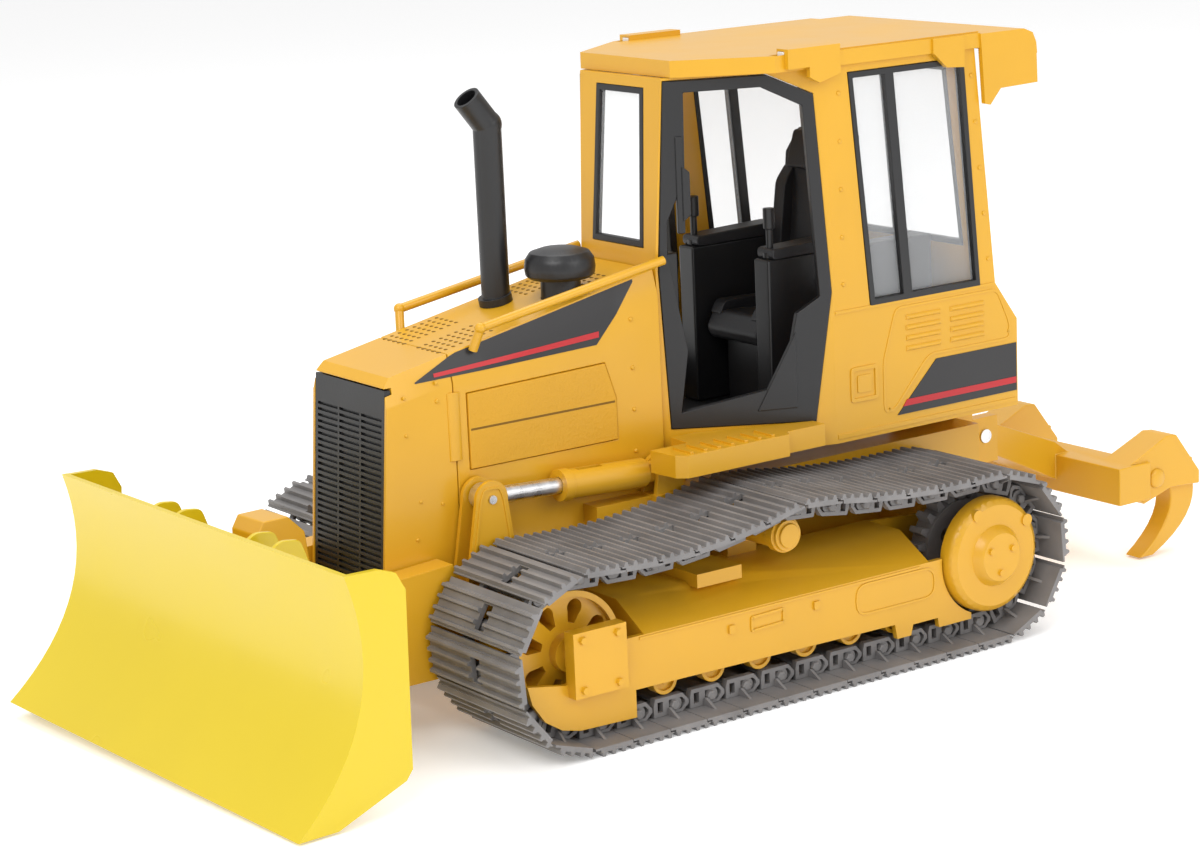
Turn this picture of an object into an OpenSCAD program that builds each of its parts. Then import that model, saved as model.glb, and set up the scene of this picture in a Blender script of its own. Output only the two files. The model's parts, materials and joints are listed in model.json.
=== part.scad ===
// Toy bulldozer: crawler tractor with a lifting blade, a rear ripper and an open-sided cab.
// The front faces -Y, +Z is up and the machine's left side is +X.
// Lengths along Y are measured from the front end of the track's ground contact,
// and centred() then moves the whole machine so that its box is centred on the origin.

/* [Crawler tracks] */
// Half of the width over the tracks
track_half_w = 84; // [80:0.5:96]
// Width of one track shoe
shoe_w = 50; // [44:0.5:51]
// Distance from one track pin to the next
pitch = 14.4; // [13:0.1:16.5]
// Links in the straight bottom run, a whole number and three quarters
run_links = 11.75; // [10.75:1:13.75]
// Links in one full turn round a sprocket or an idler
turn_links = 10.5; // [9.5:1:11.5]
// Height of the track pins above the ground
pin_h = 6.1; // [5.8:0.1:7]
// Rise of the upper run over the carrier roller
run_rise = 6.6; // [5:0.2:8]
// Sag of the upper run in front of the carrier roller
sag_front = 4.4; // [2:0.2:6]
// Sag of the upper run behind the carrier roller
sag_rear = 2.4; // [1:0.2:4]

/* [Body] */
// Half width of the nose and the hood
hood_half_w = 22.5; // [20:0.25:23]
// Height of the hood at the nose
nose_h = 115; // [105:1:125]
// Slope of the hood top, rise for each unit of length
hood_slope = 0.196; // [0.12:0.01:0.24]
// Where the front face of the nose stands
nose_y = -20; // [-24:0.5:-16]
// Where the front wall of the cab stands
cab_front_y = 86; // [80:1:90]
// Half width of the cab behind the doors
cab_half_w = 44; // [40:0.5:47]
// Where the rear wall of the body stands
body_rear_y = 225; // [218:1:235]
// Underside of the roof
roof_z = 197; // [180:1:215]
// Wall of the moulded shells
wall = 2.4; // [2:0.1:3]

/* [Blade] */
// Half width of the blade at its cutting edge
blade_half_w = 85.5; // [78:0.5:96]
// Height of the blade
blade_h = 74; // [60:1:84]
// Yaw of the blade on its pivot as it stands
blade_angle = 3.6; // [-6:0.2:6]
// Sideways tilt of the blade as it stands
blade_tilt = 1.4; // [-2:0.2:2]

/* [Ripper] */
// Reach of the ripper behind the body
ripper_reach = 84; // [76:1:96]
// Half distance between the two ripper shanks
shank_half_gap = 37.5; // [30:0.5:44]

/* [Fits] */
// Radial clearance of a shaft that turns in its bore
shaft_gap = 0.08; // [0.04:0.01:0.1]
// Clearance between pieces that move past each other
move_gap = 0.5; // [0.4:0.05:0.8]

/* [Hidden] */
$fn = 48;
sides = ["left", "right"];
roller_count = 6;
roller_names = [for (s = sides) for (i = [1:roller_count]) str("track_roller_", s, "_", i)];

// Tracks and running gear
idler_y = 11.5;
sprocket_y = idler_y + run_links * pitch;
turn_step = 360 / turn_links;
pin_r = pitch / 2 / sin(turn_step / 2);
axle_z = pin_h + pin_r;
top_z = axle_z + pin_r;
run_len = sprocket_y - idler_y;
link_count = round(2 * run_links + turn_links);
carrier_y = idler_y + 0.51 * run_len;
chain_x = track_half_w - shoe_w / 2;
rail_half = 13.6;
rail_t = 2.4;
rail_in = 3.2;
rail_out = 2.9;
rail_floor = pin_r * cos(turn_step / 2) - rail_in;
idler_r = rail_floor - move_gap;
sprocket_r = rail_floor - move_gap;
roller_z = pin_h + rail_in + move_gap + 4.8;
roller_r = 4.8;
carrier_r = 6;
carrier_z = top_z + run_rise - rail_in - move_gap - carrier_r;
shaft_r = 3;
roller_shaft_r = 1.5;

// Side frame of each track
frame_out = chain_x + rail_half + 2.9;
skirt_t = 2;
frame_in = chain_x - rail_half - skirt_t - 0.6;
frame_low = pin_h + rail_in + 2.2;
frame_edge = roller_z + 0.7;
frame_side_h = axle_z + 2;
frame_top = axle_z + 10.5;
drum_r = 19.8;
drum_x = frame_out + 4;
hub_r = 8.2;
hub_x = drum_x + 3;

// Hull and nose
hull_half_w = 20.5;
hull_low = 16;
deck_z = 62;
nose_lean = 0.077;
nose_depth = 24;
nose_low = 46;
shoulder_w = 2.6;
shoulder_h = 9;
grille_t = 2.6;
exhaust_y = 42;
pipe_r = 4.7;
cleaner_y = 57;
cleaner_r = 6.6;
panel_y0 = nose_y + nose_depth + 5;
panel_y1 = panel_y0 + 58;
panel_z0 = 81;
panel_z1 = 106;
body_low = 70;
sill_z = 115;

// Cab
cab_front_w = 21;
door_end_y = 142;
cab_rear_top_y = 207;
cab_rear_y = 215;
front_lean = 4;
roof_t = 5.5;

// Blade and its lift
pivot_y = 40;
pivot_z = 25;
pivot_r = 3;
arm_in = hull_half_w + 3;
arm_out = 32.8;
ear_t = 1.5;
ear_y = 10;
ear_z = 73;
lift_x = 28.15;
barrel_y = 80;
barrel_z = 69.5;
barrel_r = 4.9;
rod_r = 2.7;
rod_len = 42;
eye_r = 4.4;
eye_hole_r = 2.4;
lift_pin_r = 1.4;
yoke_y = -49;
yoke_back = 7;
yoke_z = 34;
yoke_r = 3;
blade_top_y = -80;
blade_edge_y = -103;
edge_z = 3;
blade_taper = 4.5;
cheek_d = 21;
plate_t = 2;

// Ripper
rip_y = 233;
rip_z = 53;
rip_pin_r = 2.5;
beam_y = body_rear_y + 0.67 * ripper_reach;
beam_z = 31;
shank_w = 8;
tip_z = 0.8;

// The box of the whole machine along Y, which centred() brings to the origin
rear_end = beam_y + 35;
front_end = yoke_y - blade_half_w * sin(blade_angle) + (blade_edge_y - yoke_y) * cos(blade_angle);
mid_y = (rear_end + front_end) / 2;

yellow = [0.93, 0.70, 0.10];
blade_yellow = [0.95, 0.86, 0.20];
black = [0.08, 0.08, 0.09];
track_grey = [0.36, 0.35, 0.36];
steel = [0.78, 0.79, 0.80];
glass = [0.85, 0.88, 0.90];
lamp_white = [0.95, 0.95, 0.95];
decal_grey = [0.22, 0.22, 0.24];

function hood_top(y) = nose_h + hood_slope * (y - nose_y - 4);
function bez(a, b, c, t) = (1 - t) * (1 - t) * a + 2 * t * (1 - t) * b + t * t * c;

module centred() { translate([0, -mid_y, 0]) children(); }
module on_side(side) { if (side == "left") children(); else mirror([1, 0, 0]) children(); }
module both_sides() { children(); mirror([1, 0, 0]) children(); }
// A flat shape in the Y-Z plane, given thickness along X
module across(x0, len) { translate([x0, 0, 0]) rotate([90, 0, 90]) linear_extrude(len) children(); }
// A flat shape in the X-Z plane, given thickness along Y
module along(y0, len) { translate([0, y0 + len, 0]) rotate([90, 0, 0]) linear_extrude(len) children(); }
module rod_x(x0, len, r, y, z) { translate([x0, y, z]) rotate([0, 90, 0]) cylinder(h = len, r = r); }
module box(x, y, z) { translate([x[0], y[0], z[0]]) cube([x[1] - x[0], y[1] - y[0], z[1] - z[0]]); }

// ---- Crawler tracks ----

// Height of the pins over the upper run, a straight rise to the carrier roller less a sag
function run_z(y) = let (
    front = y < carrier_y,
    u = front ? (y - idler_y) / (carrier_y - idler_y) : (sprocket_y - y) / (sprocket_y - carrier_y))
    top_z + run_rise * u - (front ? sag_front : sag_rear) * 4 * u * (1 - u);

// Place of pin k, counted from under the idler, back along the ground and round the sprocket
function pin_at(k) = let (top_k = run_links + turn_links / 2)
    k <= run_links ? [idler_y + k * pitch, pin_h] :
    k <= top_k ? let (a = (k - run_links) * turn_step) [sprocket_y + pin_r * sin(a),
        axle_z - pin_r * cos(a)] :
    k <= top_k + run_links ? let (y = sprocket_y - (k - top_k) * pitch) [y, run_z(y)] :
    let (a = (k - top_k - run_links) * turn_step) [idler_y - pin_r * sin(a), axle_z + pin_r * cos(a)];

module at_link(k) {
    a = pin_at(k % link_count);
    b = pin_at((k + 1) % link_count);
    translate((a + b) / 2) rotate(atan2(b[1] - a[1], b[0] - a[0])) children();
}

module rail_shape() {
    h = pitch / 2 - 0.3;
    difference() {
        polygon([[-h, -rail_out], [h - 2.5, -rail_out], [h, -0.8], [h, 0.5], [h - 2.4, rail_in],
            [-h + 0.6, rail_in], [-h, 0.8]]);
        polygon([[-h + 1.5, -1.6], [-h + 3.6, -1.6], [-h + 3.6, 1.9], [-h + 1.5, 1.9]]);
        polygon([[-0.9, -1.9], [h - 2.9, -1.9], [h - 1.5, -0.4], [h - 1.5, 0.6], [h - 2.7, 1.9], [-0.9,
            1.9]]);
    }
}

module track_links(side) {
    color(track_grey) on_side(side) for (k = [0:link_count - 1]) {
        across(chain_x - rail_half, rail_t) at_link(k) rail_shape();
        across(chain_x + rail_half - rail_t, rail_t) at_link(k) rail_shape();
        across(chain_x - rail_half + 0.2, 2 * rail_half - 0.4) at_link(k) translate([2, 0]) circle(r = 2.2);
    }
}

module shoe_shape() {
    half = pitch / 2;
    lip = 0.75;
    top = pin_h - 1.4;
    ribs = [-5.6, -1.9, 1.9, 5.3];
    a = rail_out + 0.1;
    polygon(concat(
        [[-half - 1.6, -a], [half - 1.9, -a], [half - 1.7, -a - lip - 0.5], [half - 0.4,
            -a - lip - 0.5], [half - 0.4, -top]],
        [for (i = [3:-1:0]) each [[ribs[i] + 0.9, -top], [ribs[i] + 0.45, -pin_h], [ribs[i] - 0.45,
            -pin_h], [ribs[i] - 0.9, -top]]],
        [[-half + 0.4, -top], [-half + 0.4, -a - lip], [-half - 1.6, -a - lip]]));
}

module track_shoes(side) {
    color(track_grey) on_side(side) for (k = [0:link_count - 1])
        difference() {
            across(chain_x - shoe_w / 2, shoe_w) at_link(k) shoe_shape();
            across(chain_x - 2, 5) at_link(k) translate([-4.4, -8]) square([8.4, 6]);
        }
}

// Side plate of a track frame, from behind the idler to round the final drive
module skirt_shape() {
    heel = frame_edge - 6.4;
    difference() {
        polygon([[idler_y - 6, frame_side_h - 10], [idler_y - 20, frame_side_h - 7.5], [idler_y - 18.5,
            frame_side_h - 13.5],
            [idler_y - 14, heel + 3.6], [idler_y - 8, heel - 0.3], [idler_y - 1, heel - 2],
                [idler_y + 20.5, heel - 2.6],
            [idler_y + 20.5, frame_edge], [sprocket_y - 42, frame_edge - 1.3], [sprocket_y - 41, heel],
            [sprocket_y - 35, heel], [sprocket_y - 34, frame_edge - 2.8], [sprocket_y - 23,
                frame_edge - 2.8],
            [sprocket_y - 22.5, heel + 0.2], [sprocket_y - 8, heel + 0.2], [sprocket_y - 8, frame_side_h],
            [idler_y + 17, frame_side_h], [idler_y + 15, frame_side_h - 8]]);
        translate([sprocket_y, axle_z]) circle(r = drum_r + 1);
    }
}

module track_frame(side) {
    front = idler_y + 24.5;
    rear = sprocket_y - pin_r - 2;
    color(yellow) on_side(side) difference() {
        union() {
            across(frame_out - skirt_t, skirt_t) skirt_shape();
            difference() {
                along(front, rear - front) polygon([[frame_in, frame_low], [frame_in + 4, frame_low],
                    [frame_out - 4, frame_edge], [frame_out, frame_edge], [frame_out, frame_side_h],
                        [chain_x + 2, frame_top], [frame_in, frame_top]]);
                box([frame_in + skirt_t, frame_out - skirt_t], [front - 1, rear + 1], [0,
                    roller_z + roller_r + 1]);
            }
            across(frame_in, skirt_t) polygon([[idler_y - 6, axle_z - 7], [front + 1, axle_z - 12],
                [front + 1, frame_top],
                [idler_y + 12, frame_top - 6], [idler_y - 6, axle_z + 6]]);
            across(frame_in, skirt_t) polygon([[rear - 1, axle_z - 12], [sprocket_y + 6, axle_z - 8],
                [sprocket_y + 6, axle_z + 8], [rear - 1, frame_top]]);
            box([frame_out - 1, frame_out + 4], [idler_y - 5, idler_y + 15], [axle_z - 12, axle_z + 9]);
            box([frame_in + 3, chain_x + 8], [carrier_y - 34, carrier_y - 16], [frame_top - 1,
                frame_top + 3.5]);
            box([frame_in, frame_in + 4], [carrier_y - 6, carrier_y + 6], [frame_top - 1, carrier_z + 4]);
        }
        rod_x(frame_in - 1, frame_out - frame_in + 3.5, shaft_r + shaft_gap, idler_y, axle_z);
        rod_x(frame_in - 1, 20, shaft_r + 1 + shaft_gap, sprocket_y, axle_z);
        rod_x(frame_in - 1, 6, 2 + shaft_gap, carrier_y, carrier_z);
        for (i = [1:roller_count])
            rod_x(frame_in + 0.5, skirt_t, roller_shaft_r + shaft_gap, roller_y(i), roller_z);
    }
}

function roller_y(i) = idler_y + 34.6 + (i - 1) * (run_len - 73.5) / (roller_count - 1);

module final_drive(side) {
    color(yellow) on_side(side) difference() {
        union() {
            translate([frame_out - skirt_t, sprocket_y, axle_z]) rotate([0, 90, 0]) rotate_extrude()
                polygon([[0, 0], [drum_r, 0], [drum_r, drum_x - frame_out - 0.6], [drum_r - 0.7,
                    drum_x - frame_out + 0.9],
                    [drum_r - 2.4, drum_x - frame_out + skirt_t], [hub_r + 2.4,
                        drum_x - frame_out + skirt_t],
                    [hub_r + 0.8, hub_x - frame_out + skirt_t - 0.8], [hub_r, hub_x - frame_out + skirt_t],
                    [0, hub_x - frame_out + skirt_t]]);
            for (a = [25, 150, 265])
                rod_x(hub_x - 1, 1.8, 1.1, sprocket_y + 5.4 * cos(a), axle_z + 5.4 * sin(a));
            for (a = [35, 118])
                rod_x(drum_x - 3, 3.6, 2.1, sprocket_y + (drum_r - 2.6) * cos(a), axle_z + (drum_r - 2.6)
                    * sin(a));
        }
        rod_x(frame_out - skirt_t - 1, 4, shaft_r + 1 + shaft_gap, sprocket_y, axle_z);
    }
}

module sprocket(side) {
    teeth = 2 * turn_links;
    color(track_grey) on_side(side) {
        difference() {
            union() {
                rod_x(chain_x - 4, 8, sprocket_r - 3.2, sprocket_y, axle_z);
                across(chain_x - 3, 6) translate([sprocket_y, axle_z]) for (i = [0:teeth - 1])
                    rotate(i * 360 / teeth) polygon([[sprocket_r - 5, -1.9], [sprocket_r, -0.9],
                        [sprocket_r, 0.9], [sprocket_r - 5, 1.9]]);
            }
            for (i = [0:4]) rotate_about(sprocket_y, axle_z, i * 72)
                rod_x(chain_x - 5, 10, 2.6, sprocket_y + 9, axle_z);
        }
        rod_x(frame_in - 3, frame_out - frame_in + 3.6, shaft_r + 1, sprocket_y, axle_z);
    }
}

module rotate_about(y, z, a) { translate([0, y, z]) rotate([a, 0, 0]) translate([0, -y, -z]) children(); }

module idler(side) {
    holes = 8;
    half = rail_half - rail_t - 0.6;
    color(yellow) on_side(side) {
        difference() {
            rod_x(chain_x - half, 2 * half, idler_r, idler_y, axle_z);
            rod_x(chain_x + half - 2.4, 4, idler_r - 2, idler_y, axle_z);
            rod_x(chain_x - half - 1.6, 4, idler_r - 2, idler_y, axle_z);
            for (i = [0:holes - 1]) rotate_about(idler_y, axle_z, i * 360 / holes + 27) union() {
                rod_x(chain_x - half - 1, 2 * half + 2, 2.7, idler_y, axle_z + 14);
                across(chain_x - half - 1, 2 * half + 2) polygon([[idler_y - 2.6, axle_z + 13.6],
                    [idler_y - 1.2, axle_z + 9],
                    [idler_y + 1.2, axle_z + 9], [idler_y + 2.6, axle_z + 13.6]]);
            }
        }
        rod_x(chain_x + 2, half - 0.8, 6, idler_y, axle_z);
        rod_x(frame_in + 0.3, frame_out - frame_in + 0.6, shaft_r, idler_y, axle_z);
    }
}

module track_roller(side, i) {
    inner = chain_x - rail_half;
    outer = chain_x + rail_half;
    color(yellow) on_side(side) {
        difference() {
            union() {
                rod_x(inner + 0.8, 2 * rail_half - 1.6, roller_r - 1.6, roller_y(i), roller_z);
                rod_x(inner + 0.8, 4.6, roller_r, roller_y(i), roller_z);
                rod_x(outer - 5.4, 4.6, roller_r, roller_y(i), roller_z);
            }
            rod_x(outer - 2, 3, roller_r - 1.3, roller_y(i), roller_z);
        }
        rod_x(frame_in + 0.8, outer - frame_in - 1.4, roller_shaft_r, roller_y(i), roller_z);
    }
}

module carrier_roller(side) {
    color(yellow) on_side(side) {
        rod_x(frame_in + 5, chain_x + rail_half - frame_in - 6, carrier_r - 0.8, carrier_y, carrier_z);
        rod_x(frame_in + 5, 3, carrier_r, carrier_y, carrier_z);
        rod_x(chain_x + rail_half - 6, 3.6, carrier_r, carrier_y, carrier_z);
        rod_x(chain_x + rail_half - 3, 3, carrier_r - 2, carrier_y, carrier_z);
        rod_x(frame_in + 0.3, 8, 2, carrier_y, carrier_z);
    }
}

// ---- Hull, nose and hood ----

module chassis() {
    shaft_x = frame_in - 0.1;
    color(yellow) difference() {
        union() {
            box([-hull_half_w, hull_half_w], [nose_y + 8, pivot_y + 12], [hull_low, nose_low - 0.2]);
            box([-30, 30], [pivot_y + 12, body_rear_y - 6], [hull_low, deck_z]);
            box([-hood_half_w + 0.2, hood_half_w - 0.2], [nose_y + nose_depth + 2, cab_front_y + 8],
                [nose_low - 0.4, body_low]);
            box([-18, 18], [body_rear_y - 7, body_rear_y + 2], [38, body_low - 0.4]);
            both_sides() {
                box([29, shaft_x], [sprocket_y - 9, sprocket_y + 9], [axle_z - 9, axle_z + 9]);
                box([29, shaft_x], [idler_y + 44, idler_y + 62], [axle_z - 8, axle_z + 6]);
                box([hull_half_w - 0.5, arm_in - 0.4], [pivot_y - 7, pivot_y + 12.5], [pivot_z - 7,
                    pivot_z + 7]);
                for (x = [lift_x - 4.4, lift_x + 2.6])
                    across(x, 1.8) union() {
                        polygon([[barrel_y - 5.8, deck_z - 0.5], [barrel_y + 5.7, deck_z - 0.5],
                            [barrel_y + 4.6, barrel_z], [barrel_y - 4.6, barrel_z]]);
                        translate([barrel_y, barrel_z]) circle(r = 4.8);
                    }
                box([lift_x - 5, lift_x + 4.8], [barrel_y - 6, barrel_y + 5.9], [deck_z - 3, deck_z + 0.4]);
                box([13, 18], [body_rear_y + 1.5, rip_y + 6], [rip_z - 10, rip_z + 7]);
            }
        }
        both_sides() {
            rod_x(hull_half_w - 8, 12, pivot_r + 0.01, pivot_y, pivot_z);
            rod_x(lift_x - 6, 12, lift_pin_r + 0.01, barrel_y, barrel_z);
            rod_x(frame_in - 5, 8, shaft_r + 1 + shaft_gap, sprocket_y, axle_z);
        }
        rod_x(-19, 38, rip_pin_r + 0.01, rip_y, rip_z);
    }
}

module pivot_pins() {
    color(steel) {
        both_sides() {
            rod_x(hull_half_w - 8, arm_out - hull_half_w + 7.6, pivot_r, pivot_y, pivot_z);
            rod_x(lift_x - 4.3, 9.2, lift_pin_r, barrel_y, barrel_z);
        }
        rod_x(-18.6, 37.2, rip_pin_r, rip_y, rip_z);
    }
}

module radiator_shell() {
    y1 = nose_y + nose_depth;
    color(yellow) difference() {
        across(-hood_half_w, 2 * hood_half_w) polygon([[nose_y - nose_lean * (nose_h - nose_low), nose_low],
            [nose_y, nose_h - 3], [nose_y + 2.5, hood_top(nose_y + 2.5)], [y1, hood_top(y1)], [y1,
                nose_low]]);
        across(-hood_half_w + 1.2, 2 * hood_half_w - 2.4) polygon([
            [nose_y - 1 - nose_lean * (nose_h - nose_low), nose_low - 1], [nose_y - 1, nose_h - 3.4],
            [nose_y + grille_t, nose_h - 3.4], [nose_y + grille_t - nose_lean * (nose_h - nose_low),
                nose_low - 1]]);
        box([-hood_half_w + wall, hood_half_w - wall], [nose_y + 6, y1 + 1], [nose_low - 1, nose_h - 4]);
        shoulder_cut(nose_y - 2, y1 + 1);
    }
}

// Bevel that follows the slope of the hood along both shoulders
module shoulder_cut(y0, y1) {
    len = (y1 - y0) * 1.05;
    both_sides() translate([0, y0, hood_top(y0)]) rotate([atan(hood_slope), 0, 0]) along(0, len) polygon([
        [hood_half_w - 1.5 * shoulder_w, 0.5 * shoulder_h], [hood_half_w + 0.5 * shoulder_w,
            -1.5 * shoulder_h],
        [hood_half_w + 20, -1.5 * shoulder_h], [hood_half_w + 20, 0.5 * shoulder_h]]);
}

module grille() {
    half = hood_half_w - 1.5;
    bay = (2 * half - 5) / 3;
    rise = nose_h - 3.7 - nose_low;
    louvres = 28;
    color(black) translate([0, nose_y, nose_low]) multmatrix_lean() difference() {
        box([-half, half], [0.3, grille_t - 0.2], [0, rise]);
        for (i = [-1:1]) translate([i * (bay + 1), 0, 0]) for (j = [0:louvres - 1])
            box([-bay / 2, bay / 2], [-1, 1.2], [2 + j * (rise - 10) / louvres, 2.9 + j * (rise - 10)
                / louvres]);
    }
}

// The grille leans back with the nose
module multmatrix_lean() {
    lean = atan(nose_lean);
    translate([0, -nose_lean * (nose_h - nose_low), 0]) rotate([-lean, 0, 0]) children();
}

module hood() {
    y0 = nose_y + nose_depth + 0.4;
    y1 = cab_front_y - 0.4;
    color(yellow) difference() {
        across(-hood_half_w, 2 * hood_half_w) polygon([[y0, body_low + 0.4], [y0, hood_top(y0)], [y1,
            hood_top(y1)], [y1, body_low + 0.4]]);
        across(-hood_half_w + wall, 2 * (hood_half_w - wall)) polygon([[y0 - 1, body_low - 1],
            [y0 - 1, hood_top(y0) - wall - 1], [y1 + 1, hood_top(y1) - wall - 1], [y1 + 1, body_low - 1]]);
        shoulder_cut(y0 - 2, y1 + 2);
        both_sides() across(hood_half_w - 0.8, 2) panel_shape(0);
        translate([-8, exhaust_y, nose_h]) cylinder(h = 30, r = pipe_r + 0.05);
        translate([8, cleaner_y, nose_h]) cylinder(h = 30, r = cleaner_r + 0.05);
    }
}

module panel_shape(gap) {
    polygon([[panel_y0 + gap, panel_z0 + gap], [panel_y1 - gap, panel_z0 + gap], [panel_y1 - gap,
        panel_z1 - 11],
        [panel_y1 - 4 - gap, panel_z1 - gap + 1.4], [panel_y0 + gap, panel_z1 - gap]]);
}

module side_panels() {
    color(yellow) both_sides() across(hood_half_w - 0.78, 1.3) panel_shape(0.25);
}

module exhaust_pipe() {
    z0 = hood_top(exhaust_y);
    bend_z = 185;
    turn = 38;
    color(black) translate([-8, exhaust_y, 0]) {
        translate([0, 0, z0]) rotate([atan(hood_slope), 0, 0]) translate([0, 0, 0.04]) cylinder(h = 2.6, r = pipe_r + 0.9);
        translate([0, 0, z0 - 1]) cylinder(h = bend_z - z0 + 1, r = pipe_r);
        translate([0, 0, bend_z]) sphere(r = pipe_r + 0.25);
        translate([0, 0, bend_z]) rotate([turn, 0, 0]) difference() {
            cylinder(h = 12, r = pipe_r);
            translate([0, 0, 6]) cylinder(h = 20, r = pipe_r - 1.2);
        }
    }
}

module air_cleaner() {
    z0 = hood_top(cleaner_y);
    color(black) translate([8, cleaner_y, z0 - 1.6]) {
        cylinder(h = 9, r = cleaner_r);
        translate([0, 0, 7]) rotate_extrude() polygon([[0, 0], [10, 0], [11.4, 1.2], [11.7, 3.6], [11.3,
            6.4], [9.8, 8.6], [6, 9.8], [0, 10]]);
    }
}

module handrails() {
    y0 = nose_y + 33;
    r = 1.5;
    color(yellow) both_sides() {
        post = [hood_half_w - 0.9, y0, hood_top(y0) - 1.6];
        bend = [hood_half_w + 1.6, y0 + 1.6, hood_top(y0) + 5.6];
        far = [hood_half_w + 1.6, cab_front_y + 1, hood_top(cab_front_y) + 3];
        bar(post, bend, r);
        bar(bend, far, r);
        translate(bend) sphere(r = 1.25 * r);
    }
}

module bar(a, b, r) {
    d = b - a;
    translate(a) rotate([0, acos(d[2] / norm(d)), atan2(d[1], d[0])]) cylinder(h = norm(d), r = r);
}

// ---- Cab ----

module plan_shape(inset) {
    k = inset * 1.2;
    polygon([[-cab_front_w + k, cab_front_y + inset], [cab_front_w - k, cab_front_y + inset],
        [cab_half_w - inset, door_end_y + k * 0.4], [cab_half_w - inset, body_rear_y - inset],
        [-cab_half_w + inset, body_rear_y - inset], [-cab_half_w + inset, door_end_y + k * 0.4]]);
}

module cab_side_shape(inset) {
    polygon([[cab_front_y + inset, body_low - 1], [cab_front_y + inset, 137],
        [cab_front_y + front_lean + inset, roof_z],
        [cab_rear_top_y - inset, roof_z], [cab_rear_y - inset, sill_z], [body_rear_y - inset, sill_z - 14],
        [body_rear_y - inset, body_low - 1]]);
}

// Frame of reference of the left door: X runs back along the door, Y points outwards
door_turn = atan2(door_end_y - cab_front_y, cab_half_w - cab_front_w);
door_len = norm([door_end_y - cab_front_y, cab_half_w - cab_front_w]);
module at_door() { translate([cab_front_w, cab_front_y, 0]) rotate([0, 0, door_turn]) children(); }

door_outline = [[3.2, body_low + 10.5], [door_len - 7, body_low + 8.5], [door_len - 0.4, 122],
    [door_len - 5, roof_z - 8.2], [door_len - 21, roof_z - 0.8], [4.6, roof_z - 0.8], [0.8, 134]];
door_way = [[7, body_low + 16], [door_len - 18, body_low + 22], [door_len - 13, 116], [door_len - 4.8, 121],
    [door_len - 9, roof_z - 12], [door_len - 23, roof_z - 5], [11.5, roof_z - 5], [11, 164], [4.5, 150],
        [4.2, 138], [10, 106]];

module door_cut(points, depth) {
    at_door() translate([0, depth, 0]) rotate([90, 0, 0]) linear_extrude(2 * depth) polygon(points);
}

module cab_shell() {
    color(yellow) difference() {
        intersection() {
            translate([0, 0, body_low]) linear_extrude(roof_z - body_low) plan_shape(0);
            across(-60, 120) cab_side_shape(0);
        }
        intersection() {
            translate([0, 0, body_low + 4]) linear_extrude(roof_z) plan_shape(wall);
            across(-60, 120) cab_side_shape2();
        }
        both_sides() {
            door_cut(door_outline, 4);
            across(cab_half_w - 6, 12) window_shape(0);
        }
        front_opening(0);
        rear_opening(0);
    }
}

module cab_side_shape2() {
    polygon([[cab_front_y + wall, body_low - 3], [cab_front_y + wall, 137],
        [cab_front_y + front_lean + wall, roof_z + 2],
        [cab_rear_top_y - wall, roof_z + 2], [cab_rear_y - wall, sill_z], [body_rear_y - wall, sill_z - 14],
        [body_rear_y - wall, body_low - 3]]);
}

module window_shape(d) {
    polygon([[door_end_y + 16 + d, sill_z + d], [cab_rear_y - 7 - d, sill_z + d],
        [cab_rear_top_y - 5 - d, roof_z - 2.5 - d],
        [door_end_y + 8.5 + d, roof_z - 2.5 - d]]);
}

module front_opening(d) {
    along(cab_front_y - 8, 24) polygon([[-14.5 + d, 141 + d], [14.5 - d, 141 + d], [13.2 - d,
        roof_z - 3.5 - d], [-13.2 + d, roof_z - 3.5 - d]]);
}

module rear_opening(d) {
    along(cab_rear_top_y - 16, 34) polygon([[-32 + d, sill_z + 12 + d], [32 - d, sill_z + 12 + d],
        [31 - d, roof_z - 6 - d], [-31 + d, roof_z - 6 - d]]);
}

module window_frames() {
    b = 2.2;
    color(black) {
        both_sides() across(cab_half_w - wall - 0.2, wall + 0.6) difference() {
            window_shape(0.15);
            difference() {
                window_shape(b);
                translate([0, 0]) polygon([[door_end_y + 31, sill_z], [door_end_y + 35, sill_z],
                    [door_end_y + 28, roof_z], [door_end_y + 24, roof_z]]);
            }
        }
        intersection() {
            difference() { front_opening(0.15); front_opening(b); }
            front_slab(0.2);
        }
        intersection() {
            difference() { rear_opening(0.15); rear_opening(b); }
            rear_slab(0.2);
        }
    }
}

// Slabs that follow the leaning front and rear walls
module front_slab(d) {
    across(-40, 80) polygon([[cab_front_y - d, 137], [cab_front_y + front_lean - d, roof_z],
        [cab_front_y + front_lean + wall, roof_z], [cab_front_y + wall, 137]]);
}
module rear_slab(d) {
    across(-40, 80) polygon([[cab_rear_y + d, sill_z], [cab_rear_top_y + d, roof_z],
        [cab_rear_top_y - wall, roof_z], [cab_rear_y - wall, sill_z]]);
}

module window_panes() {
    color(glass) {
        both_sides() {
            across(cab_half_w - wall + 0.2, 0.9) difference() {
                window_shape(2.4);
                translate([0, 0]) polygon([[door_end_y + 30.8, sill_z], [door_end_y + 35.2, sill_z],
                    [door_end_y + 28.2, roof_z], [door_end_y + 23.8, roof_z]]);
            }
        }
        intersection() {
            front_opening(2.4);
            translate([0, 0.9, 0]) front_slab(0);
            front_slab(0);
        }
        intersection() {
            rear_opening(2.4);
            translate([0, -0.9, 0]) rear_slab(0);
            rear_slab(0);
        }
    }
}

module door_frame(side) {
    color(black) on_side(side) intersection() {
        difference() {
            at_door() translate([0, wall - 0.1, 0]) rotate([90, 0, 0]) linear_extrude(wall + 0.5)
                offset_in(door_outline, 0.15);
            door_cut(door_way, 8);
        }
        across(-10, 80) cab_side_shape(-2);
    }
}

// The outline moved towards its own middle by a clearance
module offset_in(points, gap) {
    c = [door_len / 2, (body_low + roof_z) / 2];
    polygon([for (p = points) p + gap * (c - p) / norm(c - p) * 1.2]);
}

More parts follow.
